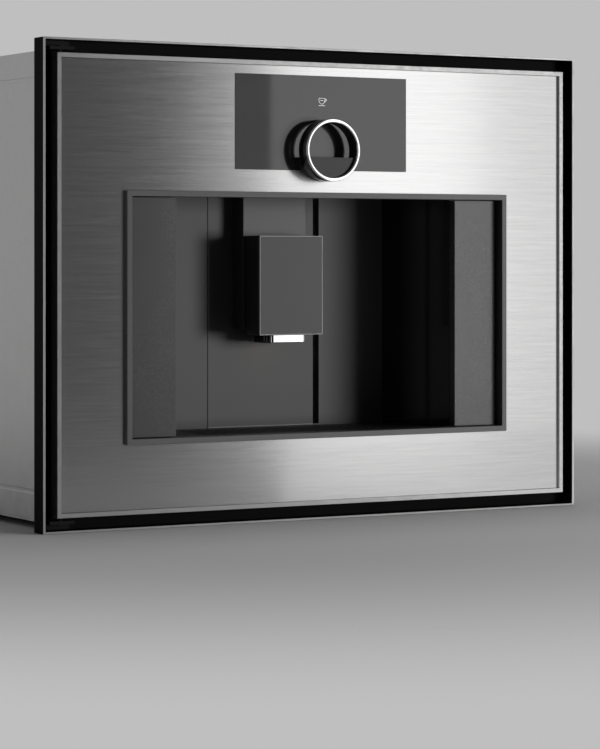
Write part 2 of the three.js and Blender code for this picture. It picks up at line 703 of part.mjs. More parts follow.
// Water tank at the left, with its lid and the spigot that the hose starts from.
function waterTank() {
  const low = baseTop + tankClearance;
  const x = [-tankOuter, -tankInner];
  const y = [tankFront, tankFront + tankDepth];
  const outer = block(x, y, [low, tankTop]);
  const inner = block([x[0] + tankWall, x[1] - tankWall], [y[0] + tankWall, y[1] - tankWall],
    [low + tankWall, tankTop + 1]);
  const middle = (x[0] + x[1]) / 2;
  const spigot = pin(spigotRadius, [y[1] - 1, y[1] + stubLength], middle, spigotHeight + baseTop, 24);
  const keel = block(about(middle, legWidth), y, [baseTop + seatGap, low + 1]);
  piece('water_tank', cut(join(outer, spigot, keel), inner), finishes.clear);

  const plug = block([x[0] + tankWall + seatGap, x[1] - tankWall - seatGap],
    [y[0] + tankWall + seatGap, y[1] - tankWall - seatGap], [tankTop - tankLidHeight, tankTop + 1]);
  const cap = block(x, y, [tankTop + seatGap, tankTop + tankLidHeight]);
  piece('tank_lid', join(cap, plug), finishes.plastic);
}

// Beans: the hopper stands on the niche and feeds the grinder through its neck.
function beans() {
  const x = [hopperLeft, tankOuter];
  const y = [hopperFront, hopperFront + hopperDepth];
  const neck = post(chuteRadius + hopperWall, [grinderTop + seatGap, hopperBottom + 1], grinderX, grinderY);
  const hopper = cut(
    join(block(x, y, [hopperBottom, hopperTop]), neck),
    block([x[0] + hopperWall, x[1] - hopperWall], [y[0] + hopperWall, y[1] - hopperWall],
      [hopperBottom + hopperWall, hopperTop + 1]),
    post(chuteRadius, [grinderTop, hopperBottom + hopperWall + 1], grinderX, grinderY));
  piece('bean_hopper', hopper, finishes.clear);

  const lidZ = [hopperTop + seatGap, hopperTop + hopperLidHeight];
  const seal = block([x[0] + hopperWall + seatGap, x[1] - hopperWall - seatGap],
    [y[0] + hopperWall + seatGap, y[1] - hopperWall - seatGap], [hopperTop - hopperLidHeight, lidZ[1]]);
  piece('hopper_lid', join(block(x, y, lidZ), seal), finishes.plastic);

  const bore = grinderRadius - grinderWall;
  const floor = grinderBottom + grinderWall;
  const drum = post(grinderRadius, [grinderBottom, grinderTop], grinderX, grinderY, 48);
  const arm = block(about(grinderX, grinderRadius), [bulkheadBack, grinderY], [grinderBottom, grinderTop - 20]);
  const body = cut(join(drum, arm),
    post(bore, [floor, grinderTop - grinderWall], grinderX, grinderY, 48),
    post(chuteRadius + hopperWall, [grinderTop - grinderWall - 1, grinderTop + 1], grinderX, grinderY),
    post(shaftRadius + runGap, [grinderBottom - 1, floor + 1], grinderX, grinderY, 24));
  const spout = block([brewWidth / 2 + brewPlate, grinderX - grinderRadius + 3], about(brewY, brewDepth / 4),
    [floor, floor + 2 * grinderWall]);
  const spoutHole = block([brewWidth / 2 + brewPlate - 1, grinderX - bore + 3], about(brewY, brewDepth / 4 - 4),
    [floor + 3, floor + 9]);
  piece('grinder_body', cut(join(body, spout), spoutHole), finishes.plastic);

  const burrBottom = floor + grinderWall;
  const stoneRing = cut(
    post(bore - seatGap, [burrBottom + burrHeight + runGap, burrBottom + 2 * burrHeight], grinderX, grinderY, 48),
    post(chuteRadius, [burrBottom, burrBottom + 3 * burrHeight], grinderX, grinderY));
  piece('fixed_burr', stoneRing, finishes.zinc);
  const stone = post(burrRadius, [burrBottom, burrBottom + burrHeight], grinderX, grinderY, 48);
  const shaft = post(shaftRadius, [grinderBottom - 3 * shaftRadius, burrBottom + 1], grinderX, grinderY, 24);
  piece('turning_burr', join(stone, shaft), finishes.zinc);

  const motorTop = grinderBottom - seatGap;
  const can = post(motorRadius, [motorTop - motorHeight, motorTop], grinderX, grinderY);
  const shaftBore = post(shaftRadius + runGap, [motorTop - 4 * shaftRadius, motorTop + 1], grinderX, grinderY, 24);
  piece('grinder_motor', cut(can, shaftBore), finishes.zinc);

  const dial = pin(selectorRadius, [doorDepth + 1, frameDepth - seatGap], selectorX, selectorZ, 36);
  const stem = pin(shaftRadius, [frameDepth - 1, chassisBack + 4 * shaftRadius], selectorX, selectorZ, 24);
  const notch = block(about(selectorX, 2), [doorDepth, doorDepth + 2], [selectorZ, selectorZ + 2 * selectorRadius]);
  piece('grind_selector', cut(join(dial, stem), notch), finishes.black);
}

// Brew unit: a frame with its chamber, a piston that a turning spindle drives down, and a motor.
function brewUnit() {
  const half = brewWidth / 2;
  const y = [bulkheadBack, brewY + brewDepth / 2];
  const middle = about(brewY, brewDepth);
  const cheeks = [-1, 1].map((side) => block(
    side < 0 ? [-half, brewPlate - half] : [half - brewPlate, half], y, [brewBottom, brewTop]));
  const level = (z) => block(both(half - 1), middle, [z, z + brewPlate]);
  const chamberTop = chamberBottom + chamberHeight;
  const chamber = post(chamberRadius + chamberWall, [chamberBottom, chamberTop], 0, brewY);
  const web = block(both(half - 1), about(brewY, 2 * chamberWall), [chamberBottom, chamberTop]);
  const inletStub = pin(hoseRadius, [brewY + chamberRadius, brewY + chamberRadius + chamberWall + stubLength],
    0, chamberTop - 2 * hoseRadius, 20);
  const frame = cut(
    join(...cheeks, level(brewBottom), level(guideHeight), level(brewTop - brewPlate), chamber, web, inletStub),
    post(chamberRadius, [chamberBottom + chamberWall, chamberTop + 1], 0, brewY),
    post(chamberRadius / 3, [brewBottom - 1, chamberBottom + chamberWall + 1], 0, brewY, 24),
    post(shankRadius + runGap, [guideHeight - 1, guideHeight + brewPlate + 1], 0, brewY),
    post(spindleRadius + runGap, [brewTop - brewPlate - 1, brewTop + 1], 0, brewY, 24));
  piece('brew_frame', frame, finishes.plastic);

  const shankTop = brewTop - brewPlate - seatGap - 2;
  const piston = cut(
    join(post(chamberRadius - runGap, [pistonRest, pistonRest + pistonHeight], 0, brewY),
      post(shankRadius, [pistonRest, shankTop], 0, brewY, 32)),
    post(spindleRadius + runGap, [pistonRest + 4, shankTop + 1], 0, brewY, 24));
  piece('brew_piston', piston, finishes.brass);

  const spindle = post(spindleRadius, [pistonRest + 6, brewTop + 12], 0, brewY, 24);
  piece('brew_spindle', spindle, finishes.zinc);

  const motor = cut(
    post(brewMotorRadius, [brewTop + seatGap, brewTop + brewMotorHeight], 0, brewY),
    post(spindleRadius + runGap, [brewTop - 1, brewTop + 13], 0, brewY, 24));
  piece('brew_motor', motor, finishes.zinc);
}

// Pump, heater and the three fixed hoses between tank, pump, heater and brew chamber.
function waterCircuit() {
  const pumpX1 = pumpX + pumpLength;
  const outletX = pumpX + pumpLength / 2;
  const barrel = bar(pumpRadius, [pumpX, pumpX1], pumpY, pumpHeight);
  const pumpLegs = [pumpX + legWidth, pumpX1 - legWidth].map((x) => block(
    about(x, legWidth), about(pumpY, pumpRadius), [baseTop, pumpHeight]));
  const pumpStubs = join(bar(hoseRadius, [pumpX - stubLength, pumpX + 1], pumpY, pumpHeight, 20),
    post(hoseRadius, [pumpHeight, pumpHeight + pumpRadius + stubLength], outletX, pumpY, 20));
  piece('pump', join(barrel, ...pumpLegs, pumpStubs), finishes.brass);

  const heaterLow = baseTop + legHeight;
  const heaterTop = heaterLow + heaterHeight;
  const heaterRight = heaterX + heaterWidth / 2;
  const stubZ = heaterLow + heaterHeight / 2;
  const legs = [-1, 1].map((side) => block(about(heaterX + side * heaterWidth / 3, legWidth),
    about(heaterY, heaterDepth / 2), [baseTop, heaterLow + 1]));
  const heaterBody = block(about(heaterX, heaterWidth), about(heaterY, heaterDepth), [heaterLow, heaterTop]);
  const heaterStubs = join(bar(hoseRadius, [heaterRight - 1, heaterRight + stubLength], heaterY, stubZ, 20),
    post(hoseRadius, [heaterTop - 1, heaterTop + stubLength], heaterX, heaterY, 20));
  piece('heater', join(heaterBody, ...legs, heaterStubs), finishes.zinc);

  const tankX = -(tankOuter + tankInner) / 2;
  const tankY = tankFront + tankDepth + stubLength + seatGap;
  const tankZ = spigotHeight + baseTop;
  const aisle = trayFront + trayDepth + 3 * hoseRadius;
  piece('tank_hose', hose([
    [tankX, tankY, tankZ], [tankX, tankY + hoseLead, tankZ], [tankX + 1.5 * hoseLead, aisle, tankZ],
    [heaterX, aisle, tankZ], [-2 * hoseLead, aisle + hoseRadius, tankZ + hoseRadius],
    [pumpX - 3 * hoseLead, pumpY - pumpRadius, pumpHeight - hoseRadius],
    [pumpX - stubLength - hoseLead, pumpY, pumpHeight], [pumpX - stubLength - seatGap, pumpY, pumpHeight],
  ]), finishes.silicone);

  const pumpOut = pumpHeight + pumpRadius + stubLength + seatGap;
  const heaterIn = heaterRight + stubLength + seatGap;
  piece('pressure_hose', hose([
    [outletX, pumpY, pumpOut], [outletX, pumpY, pumpOut + hoseLead],
    [outletX - 2 * hoseLead, pumpY, pumpOut + 2 * hoseLead], [heaterIn + 4 * hoseLead, heaterY, stubZ + hoseLead],
    [heaterIn + hoseLead, heaterY, stubZ], [heaterIn, heaterY, stubZ],
  ]), finishes.silicone);

  const heaterOut = heaterTop + stubLength + seatGap;
  const brewIn = brewY + chamberRadius + chamberWall + stubLength + seatGap;
  const brewZ = chamberBottom + chamberHeight - 2 * hoseRadius;
  piece('brew_hose', hose([
    [heaterX, heaterY, heaterOut], [heaterX, heaterY, heaterOut + hoseLead],
    [heaterX + 3 * hoseLead, heaterY - 2 * hoseRadius, brewZ + hoseLead],
    [-hoseLead, brewIn + 2.5 * hoseLead, brewZ + 2 * hoseRadius], [0, brewIn + hoseLead, brewZ], [0, brewIn, brewZ],
  ]), finishes.silicone);
}

// Electrics: the control board on the rear panel and the mains inlet in it.
function electrics() {
  const boardY = innerRear - boardGap;
  const boardZ = [boardBottom, boardBottom + boardHeight];
  const plate = block(about(boardX, boardWidth), [boardY - boardThickness, boardY], boardZ);
  const posts = [];
  for (const x of about(boardX, boardWidth - 4 * postRadius)) {
    for (const z of [boardZ[0] + 2 * postRadius, boardZ[1] - 2 * postRadius]) {
      posts.push(pin(postRadius, [boardY - 1, innerRear], x, z, 16));
    }
  }
  // Each component's place, size and rise, as shares of the board's width.
  const parts = [[-0.25, 0.19, 0.25, 0.15], [0.12, 0.38, 0.21, 0.1], [0.31, 0.7, 0.19, 0.12], [-0.19, 0.63, 0.15, 0.08]]
    .map((shares) => shares.map((share) => share * boardWidth))
    .map(([x, z, size, rise]) => block(about(boardX + x, size), [boardY - boardThickness - rise, boardY - 1],
      about(boardBottom + z, size)));
  piece('control_board', join(plate, ...posts, ...parts), finishes.board);

  const inlet = cut(
    block(about(inletX, inletWidth), [rearFace - inletDepth, rearFace], [inletBottom, inletBottom + inletHeight]),
    block(about(inletX, inletWidth - 12), [rearFace - inletDepth + 5, rearFace + 1],
      [inletBottom + 5, inletBottom + inletHeight - 5]));
  piece('power_inlet', inlet, finishes.black);
}

// Push latch that holds the door shut at its right edge.
function latch() {
  const back = chassisBack + latchDepth;
  const tip = doorDepth + strikerThickness + seatGap;
  const body = block(about(latchX, latchWidth), [chassisBack, back], about(latchHeight, latchWidth));
  const bore = pin(plungerRadius + runGap, [chassisBack - 1, back - 4], latchX, latchHeight, 24);
  piece('latch_housing', cut(body, bore), finishes.plastic);
  const plunger = pin(plungerRadius, [tip, back - 4 - plungerTravel - runGap], latchX, latchHeight, 24);
  piece('latch_plunger', plunger, finishes.zinc);
}

outerFrame();
housing();
frontChassis();
bulkhead();
door();
controlRing();
niche();
tray();
outlet();
waterTank();
beans();
brewUnit();
waterCircuit();
electrics();
latch();

const machine = new THREE.Group();
machine.add(...pieces);
machine.position.y = (ringProud - rearFace) / 2;
const part = new THREE.Group();
part.add(machine);
export default part;
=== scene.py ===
import math

import bpy
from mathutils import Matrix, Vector


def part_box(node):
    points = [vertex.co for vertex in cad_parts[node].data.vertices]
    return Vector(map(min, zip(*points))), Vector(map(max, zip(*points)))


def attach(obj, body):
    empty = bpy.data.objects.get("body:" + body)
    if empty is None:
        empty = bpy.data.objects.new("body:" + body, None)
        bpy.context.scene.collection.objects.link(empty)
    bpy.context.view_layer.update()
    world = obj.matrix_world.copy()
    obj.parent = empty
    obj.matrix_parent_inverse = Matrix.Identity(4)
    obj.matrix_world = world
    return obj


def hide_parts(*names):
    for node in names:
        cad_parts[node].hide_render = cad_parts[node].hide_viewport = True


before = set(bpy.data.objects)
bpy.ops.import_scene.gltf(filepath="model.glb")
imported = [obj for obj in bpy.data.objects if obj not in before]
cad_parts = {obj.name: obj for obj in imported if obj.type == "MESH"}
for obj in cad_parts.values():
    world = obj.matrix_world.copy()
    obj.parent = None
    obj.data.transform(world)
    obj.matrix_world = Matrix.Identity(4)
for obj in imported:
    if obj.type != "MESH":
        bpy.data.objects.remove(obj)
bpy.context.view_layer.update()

bpy.context.scene.view_settings.view_transform = "Standard"
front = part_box("outer_frame")[0].y  # plane of the outer frame's front edge


class Number:  # a number in a material, so that sums on it are written as sums
    def __init__(self, look, socket):
        self.look = look
        self.socket = socket

    def worked(self, operation, first, second):
        return self.look.number("ShaderNodeMath", {"operation": operation}, {0: first, 1: second})

    def __add__(self, other):
        return self.worked("ADD", self, other)

    def __mul__(self, other):
        return self.worked("MULTIPLY", self, other)

    def __lt__(self, other):
        return self.worked("LESS_THAN", self, other)

    def __gt__(self, other):
        return self.worked("GREATER_THAN", self, other)

    __radd__ = __add__
    __rmul__ = __mul__


class Look:  # the nodes of one material, or of the world
    def __init__(self, tree, coordinate="Object"):
        self.tree = tree
        self.place = self.node("ShaderNodeTexCoord").outputs[coordinate]
        x, y, z = self.node("ShaderNodeSeparateXYZ", {}, {0: self.place}).outputs
        self.x, self.y, self.z = Number(self, x), Number(self, y), Number(self, z)

    def feed(self, target, value):
        if isinstance(value, Number):
            value = value.socket
        if isinstance(value, bpy.types.NodeSocket):
            self.tree.links.new(value, target)
        else:
            target.default_value = value

    def node(self, kind, settings=None, sockets=None):
        made = self.tree.nodes.new(kind)
        for setting, value in (settings or {}).items():
            setattr(made, setting, value)
        for socket, value in (sockets or {}).items():
            self.feed(made.inputs[socket], value)
        return made

    def number(self, kind, settings=None, sockets=None, output=0):
        return Number(self, self.node(kind, settings, sockets).outputs[output])

    def noise(self, scale, detail=2.0, roughness=0.5):  # scale is waves per metre along x, y and z
        vector = self.node("ShaderNodeMapping", {}, {"Vector": self.place, "Scale": scale}).outputs[0]
        return self.number("ShaderNodeTexNoise", {}, {"Vector": vector, "Scale": 1.0, "Detail": detail,
                                                      "Roughness": roughness})

    def ramp(self, value, low, high, start=0.0, end=1.0, kind="LINEAR"):
        return self.number("ShaderNodeMapRange", {"interpolation_type": kind}, {
            "Value": value, "From Min": low, "From Max": high, "To Min": start, "To Max": end})

    def mix(self, share, first, second):
        made = self.node("ShaderNodeMix", {"data_type": "RGBA"}, {0: share, 6: first, 7: second})
        return made.outputs[2]


class Finish(Look):  # a Principled material: constants go straight to its sockets
    def __init__(self, name, constants):
        self.material = bpy.data.materials.new(name)
        self.material.use_nodes = True
        super().__init__(self.material.node_tree)
        self.shader = self.tree.nodes["Principled BSDF"]
        for socket, value in constants.items():
            self.shader.inputs[socket].default_value = value

    def tint(self, share, first, second):
        self.feed(self.shader.inputs["Base Color"], self.mix(share, first, second))

    def rough(self, value):
        self.feed(self.shader.inputs["Roughness"], value)

    def bump(self, height, distance, strength=1.0):
        made = self.node("ShaderNodeBump", {}, {"Height": height, "Distance": distance, "Strength": strength})
        self.feed(self.shader.inputs["Normal"], made.outputs[0])


def grey(value, warmth=0.0):
    return (value * (1 + warmth), value, value * (1 - warmth), 1.0)


def scaled(colour, factor):
    return [channel * factor for channel in colour[:3]] + [1.0]


def brushed(name, values):  # scratches along x in three sizes, under a clear lacquer
    finish = Finish(name, {"Metallic": 1.0, "Anisotropic": values["anisotropic"],
                           "Anisotropic Rotation": 0.25, "Coat Weight": 1.0, "Coat Roughness": 0.1,
                           "Coat IOR": 1.7})
    across, along, tone = values["across"], values["along"], values["colour"]
    fine = finish.noise([along, along, across], 2.0, 0.6)
    middle = finish.noise([along * 1.6, along * 1.6, across / 3], 2.0, 0.6)
    broad = finish.noise([along / 4, along / 4, across / 9], 2.0)
    streaks = fine * 0.25 + middle * 0.5 + broad * 0.25
    finish.tint(finish.ramp(streaks, 0.35, 0.65), grey(tone * 0.93), grey(tone * 1.07, 0.003))
    finish.rough(finish.ramp(streaks, 0.35, 0.65, values["roughness"] - 0.015, values["roughness"] + 0.02))
    finish.bump(fine, values["depth"], values["strength"])
    return finish.material


def painted(name, values):  # powder coat or moulded plastic with its fine grain
    finish = Finish(name, {"Specular IOR Level": values.get("gloss", 0.5), "Coat Roughness": 0.08})
    tone = values["colour"]
    grain = finish.noise([values["grain"]] * 3, 2.0, 0.55)
    cloud = finish.noise([9.0, 9.0, 9.0], 2.0)
    finish.tint(grain * 0.35 + cloud * 0.65, grey(tone * 0.9), grey(tone * 1.1))
    finish.rough(finish.ramp(grain * 0.5 + cloud * 0.5, 0.25, 0.75, values["roughness"] - 0.03,
                             values["roughness"] + 0.03))
    finish.bump(grain, values["depth"], values.get("strength", 0.4))
    return finish.material


def sheetMetal(name, values):  # zinc-plated sheet with its crystals
    finish = Finish(name, {"Metallic": 0.85})
    tone = values["colour"]
    crystals = finish.node("ShaderNodeTexVoronoi", {"feature": "F1"}, {
        "Vector": finish.place, "Scale": values["crystals"]})
    share = finish.node("ShaderNodeSeparateColor", {}, {0: crystals.outputs["Color"]}).outputs[0]
    cloud = finish.noise([14.0, 14.0, 14.0], 3.0)
    spangle = Number(finish, share) * 0.6 + cloud * 0.4
    finish.tint(spangle, grey(tone * 0.93, -0.01), grey(tone * 1.07, 0.01))
    finish.rough(finish.ramp(spangle, 0.0, 1.0, values["roughness"] - 0.06, values["roughness"] + 0.08))
    finish.bump(cloud, 0.0001, 0.05)
    return finish.material


def glassy(name, values):  # clear moulded container
    finish = Finish(name, {"Transmission Weight": values["clear"], "IOR": 1.45})
    cloud = finish.noise([20.0, 20.0, 20.0], 2.0)
    finish.tint(cloud, values["colour"], scaled(values["colour"], 0.94))
    finish.rough(finish.ramp(cloud, 0.3, 0.7, values["roughness"], values["roughness"] + 0.05))
    return finish.material


def metalPart(name, values):  # machined or polished metal with faint tool marks
    finish = Finish(name, {"Metallic": 1.0})
    marks = finish.noise(values["marks"], 2.0)
    finish.tint(marks, scaled(values["colour"], 0.95), scaled(values["colour"], 1.04))
    finish.rough(finish.ramp(marks, 0.3, 0.7, values["roughness"] * 0.8, values["roughness"] * 1.25))
    finish.bump(marks, 0.00005, 0.2)
    return finish.material


looks = {
    "steelSheet": brushed("steelSheet", {
        "colour": 0.53, "roughness": 0.23, "anisotropic": 0.7, "across": 2600.0, "along": 16.0,
        "depth": 0.00001, "strength": 0.3}),
    "borderSteel": metalPart("borderSteel", {
        "colour": (0.62, 0.62, 0.617), "roughness": 0.4, "marks": (300.0, 300.0, 300.0)}),
    "polishedEdge": metalPart("polishedEdge", {
        "colour": (0.7, 0.7, 0.695), "roughness": 0.45, "marks": (60.0, 60.0, 60.0)}),
    "chrome": metalPart("chrome", {
        "colour": (0.87, 0.87, 0.865), "roughness": 0.06, "marks": (40.0, 40.0, 40.0)}),
    "frameBlack": painted("frameBlack", {
        "colour": 0.003, "roughness": 0.6, "grain": 900.0, "depth": 0.00003, "gloss": 0.03}),
    "hingeBlack": painted("hingeBlack", {
        "colour": 0.006, "roughness": 0.5, "grain": 600.0, "depth": 0.00003, "gloss": 0.12}),
    "anthracite": painted("anthracite", {
        "colour": 0.046, "roughness": 0.36, "grain": 1400.0, "depth": 0.00004, "gloss": 0.6}),
    "matBlack": painted("matBlack", {"colour": 0.014, "roughness": 0.5, "grain": 1200.0, "depth": 0.00005}),
    "glossBlack": painted("glossBlack", {
        "colour": 0.006, "roughness": 0.1, "grain": 60.0, "depth": 0.00002, "strength": 0.1}),
    "ringBlack": metalPart("ringBlack", {
        "colour": (0.16, 0.16, 0.165), "roughness": 0.14, "marks": (200.0, 200.0, 200.0)}),
    "carrierBlack": painted("carrierBlack", {
        "colour": 0.03, "roughness": 0.3, "grain": 400.0, "depth": 0.00001, "gloss": 0.15, "strength": 0.1}),
    "greyPlastic": painted("greyPlastic", {
        "colour": 0.055, "roughness": 0.5, "grain": 900.0, "depth": 0.00006}),
    "displayGlass": painted("displayGlass", {
        "colour": 0.028, "roughness": 0.05, "grain": 30.0, "depth": 0.00001, "strength": 0.02}),
    "zinc": sheetMetal("zinc", {"colour": 0.55, "roughness": 0.4, "crystals": 90.0}),
    "aluminium": metalPart("aluminium", {
        "colour": (0.6, 0.6, 0.61), "roughness": 0.36, "marks": (500.0, 500.0, 30.0)}),
    "rubber": painted("rubber", {"colour": 0.02, "roughness": 0.75, "grain": 700.0, "depth": 0.0001}),
    "brass": metalPart("brass", {
        "colour": (0.66, 0.5, 0.25), "roughness": 0.3, "marks": (500.0, 500.0, 500.0)}),
    "clear": glassy("clear", {"colour": (0.86, 0.91, 0.94, 1.0), "clear": 0.85, "roughness": 0.05}),
    "silicone": glassy("silicone", {"colour": (0.86, 0.86, 0.82, 1.0), "clear": 0.25, "roughness": 0.35}),
    "fasciaPaint": painted("fasciaPaint", {
        "colour": 0.024, "roughness": 0.26, "grain": 1400.0, "depth": 0.00002, "gloss": 0.8,
        "strength": 0.15}),
    "wallPaint": painted("wallPaint", {
        "colour": 0.05, "roughness": 0.5, "grain": 1400.0, "depth": 0.00004, "gloss": 0.3}),
    "panelEdge": painted("panelEdge", {
        "colour": 0.12, "roughness": 0.3, "grain": 900.0, "depth": 0.00001, "gloss": 0.8}),
    "outletSteel": metalPart("outletSteel", {
        "colour": (0.88, 0.88, 0.875), "roughness": 0.2, "marks": (300.0, 300.0, 2000.0)}),
    "outletBlack": painted("outletBlack", {
        "colour": 0.01, "roughness": 0.22, "grain": 300.0, "depth": 0.00001, "strength": 0.1}),
}


def spans(node):
    low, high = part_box(node)
    return (low.x, high.x), (low.y, high.y), (low.z, high.z)


boardSizes = {"tracks": 120.0, "mortar": 0.04, "partsFrom": 0.0125}


def boardLook():  # printed tracks, with dark parts standing on the board
    s = boardSizes
    finish = Finish("circuitBoard", {"Specular IOR Level": 0.5})
    lying = finish.node("ShaderNodeMapping", {}, {
        "Vector": finish.place, "Rotation": (math.pi / 2, 0, 0), "Scale": (s["tracks"],) * 3}).outputs[0]
    tracks = finish.node("ShaderNodeTexBrick", {"offset": 0.5}, {
        "Vector": lying, "Mortar Size": s["mortar"]}).outputs["Fac"]
    raised = finish.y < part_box("control_board")[1].y - s["partsFrom"]
    board = finish.mix(tracks, (0.02, 0.12, 0.06, 1.0), (0.08, 0.24, 0.13, 1.0))
    finish.tint(raised, board, (0.03, 0.03, 0.032, 1.0))
    finish.rough(finish.ramp(raised, 0.0, 1.0, 0.35, 0.5))
    return finish.material


def glowing(name, strength, roughness, grain, tints, glows):  # a lit surface with a faint unevenness
    finish = Finish(name, {"Emission Strength": strength, "Roughness": roughness})
    unevenness = finish.noise([grain] * 3, 1.0)
    finish.tint(unevenness, *tints)
    finish.feed(finish.shader.inputs["Emission Color"], finish.mix(unevenness, *glows))
    return finish.material


# width of the band of painted highlight along the head face's edges
paintedHighlightWidth = 0.0008


def headLook():  # satin paint with a painted highlight, a lighter grey, along its thin edges
    finish = Finish("headPaint", {"Specular IOR Level": 0.45})
    (x0, x1), _, (z0, z1) = spans("head_face")
    grain = finish.noise([1400.0] * 3, 2.0)
    # painted highlight: a thin band along every edge of the face is tinted a lighter grey
    sideways = (finish.x < x0 + paintedHighlightWidth) + (finish.x > x1 - paintedHighlightWidth)
    upright = (finish.z < z0 + paintedHighlightWidth) + (finish.z > z1 - paintedHighlightWidth)
    edge = finish.ramp(sideways + upright, 0.0, 1.0)
    finish.tint(edge, grey(0.039), grey(0.2))
    finish.rough(finish.ramp(grain, 0.3, 0.7, 0.38, 0.46))
    finish.bump(grain, 0.00004, 0.4)
    return finish.material


looks["board"] = boardLook()
looks["headPaint"] = headLook()
looks["signLight"] = glowing("signLight", 0.5, 0.4, 400.0, (grey(0.4), grey(0.5)), (grey(0.9), grey(1.0)))
looks["warmLens"] = glowing("warmLens", 14.0, 0.3, 500.0, ((0.8, 0.7, 0.55, 1.0), (0.9, 0.8, 0.62, 1.0)),
                            ((1.0, 0.6, 0.28, 1.0), (1.0, 0.66, 0.34, 1.0)))
print("materials made:", len(looks))


smoothAngle = math.radians(35)  # faces that meet at a sharper angle keep a hard edge


def leaveAll():
    if bpy.context.object and bpy.context.object.mode != "OBJECT":
        bpy.ops.object.mode_set(mode="OBJECT")
    bpy.ops.object.select_all(action="DESELECT")


def hold(obj):  # makes obj the only selected and active one
    leaveAll()
    obj.select_set(True)
    bpy.context.view_layer.objects.active = obj
    return obj


def block(name, x, y, z):
    leaveAll()
    bpy.ops.mesh.primitive_cube_add(size=1, location=[(a + b) / 2 for a, b in (x, y, z)])
    obj = bpy.context.object
    obj.name = name
    obj.scale = [b - a for a, b in (x, y, z)]
    bpy.ops.object.transform_apply(location=True, rotation=True, scale=True)
    return obj


def rod(name, radius, centre, length, axis, sides):  # centre is the middle of its length
    leaveAll()
    turn = {"X": (0, math.pi / 2, 0), "Y": (math.pi / 2, 0, 0), "Z": (0, 0, 0)}[axis]
    bpy.ops.mesh.primitive_cylinder_add(vertices=sides, radius=radius, depth=length, location=centre,
                                        rotation=turn)
    obj = bpy.context.object
    obj.name = name
    bpy.ops.object.transform_apply(location=True, rotation=True, scale=True)
    return obj


def applied(obj, kind, settings):
    hold(obj)
    modifier = obj.modifiers.new(kind.lower(), kind)
    for setting, value in settings.items():
        setattr(modifier, setting, value)
    bpy.ops.object.modifier_apply(modifier=modifier.name)
    return obj


def cutAway(obj, *cutters):
    for cutter in cutters:
        applied(obj, "BOOLEAN", {"operation": "DIFFERENCE", "solver": "EXACT", "object": cutter})
        bpy.data.objects.remove(cutter)
    return obj


def merged(first, *others):
    hold(first)
    for other in others:
        other.select_set(True)
    bpy.ops.object.join()
    return first


def softened(obj, width, segments=2, angle=40.0):
    applied(obj, "BEVEL", {"width": width, "segments": segments, "limit_method": "ANGLE",
                           "angle_limit": math.radians(angle), "use_clamp_overlap": True})
    hold(obj)
    bpy.ops.object.shade_smooth_by_angle(angle=smoothAngle)
    applied(obj, "WEIGHTED_NORMAL", {"keep_sharp": True})
    return obj


def pick(obj, test):  # edit mode, with the faces selected whose middle and normal pass the test
    hold(obj)
    bpy.ops.object.mode_set(mode="EDIT")
    bpy.ops.mesh.select_mode(type="FACE")
    bpy.ops.mesh.select_all(action="DESELECT")
    bpy.ops.object.mode_set(mode="OBJECT")
    for face in obj.data.polygons:
        face.select = test(face.center, face.normal)
    bpy.ops.object.mode_set(mode="EDIT")


ringSteps = 160  # faces around a ring


def turned(name, radii, depths, centre, corner, segments):  # a ring about an axis along y
    leaveAll()
    middle = (centre[0] + sum(radii) / 2, sum(depths) / 2, centre[2])
    bpy.ops.mesh.primitive_plane_add(size=1, location=middle)
    obj = bpy.context.object
    obj.name = name
    obj.scale = (radii[1] - radii[0], depths[1] - depths[0], 1)
    bpy.ops.object.transform_apply(location=True, rotation=True, scale=True)
    bpy.ops.object.mode_set(mode="EDIT")
    bpy.ops.mesh.select_all(action="SELECT")
    bpy.ops.mesh.bevel(offset=corner, segments=segments, affect="VERTICES")
    bpy.ops.mesh.select_all(action="SELECT")
    bpy.ops.mesh.delete(type="ONLY_FACE")
    bpy.ops.mesh.select_all(action="SELECT")
    bpy.ops.mesh.spin(steps=ringSteps, angle=2 * math.pi, center=centre, axis=(0, 1, 0))
    bpy.ops.mesh.select_all(action="SELECT")
    bpy.ops.mesh.remove_doubles(threshold=0.00001)
    bpy.ops.mesh.normals_make_consistent(inside=False)
    bpy.ops.object.mode_set(mode="OBJECT")
    bpy.ops.object.shade_smooth_by_angle(angle=smoothAngle)
    return obj


def dressed(obj, body, look, slot, *nodes):
    obj.data.materials.clear()
    obj.data.materials.append(looks[look])
    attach(obj, body)
    if nodes:
        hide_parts(*nodes)
    return obj


def shrunk(pair, amount):
    return pair[0] + amount, pair[1] - amount


frameSizes = {"wall": 0.002, "stripDepth": 0.0012, "flangeWidth": 0.023, "flangeDepth": 0.0025,
              "landDepth": 0.0008, "landClear": 0.0025, "edge": 0.0003}


def outerFrame():
    s = frameSizes
    x, y, z = spans("outer_frame")
    flangeBack = y[1] - s["landDepth"]
    flangeFront = flangeBack - s["flangeDepth"]
    stripBack = y[0] + s["stripDepth"]
    strip = block("frameStrip", x, (y[0], stripBack), z)
    cutAway(strip, block("hole", shrunk(x, s["wall"]), (y[0] - 1, stripBack + 1), shrunk(z, s["wall"])))
    dressed(softened(strip, s["edge"]), "housing", "polishedEdge", "chrome")
    wall = block("frameWall", x, (stripBack, y[1]), z)
    sideX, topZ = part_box("right_side_panel")[1].x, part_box("right_side_panel")[1].z
    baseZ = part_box("base_pan")[0].z
    cutAway(wall, block("room", shrunk(x, s["wall"]), (y[0] - 1, flangeFront), shrunk(z, s["wall"])),
            block("hole", shrunk(x, s["flangeWidth"]), (flangeFront - 0.01, y[1] + 1),
                  shrunk(z, s["flangeWidth"])),
            block("step", (-sideX - s["landClear"], sideX + s["landClear"]), (flangeBack, y[1] + 1),
                  (baseZ - s["landClear"], topZ + s["landClear"])))
    dressed(softened(wall, s["edge"]), "housing", "frameBlack", "frame_black", "outer_frame")


outerFrame()


bezelSizes = {"lip": 0.0055, "edge": 0.0006, "wall": 0.0025}


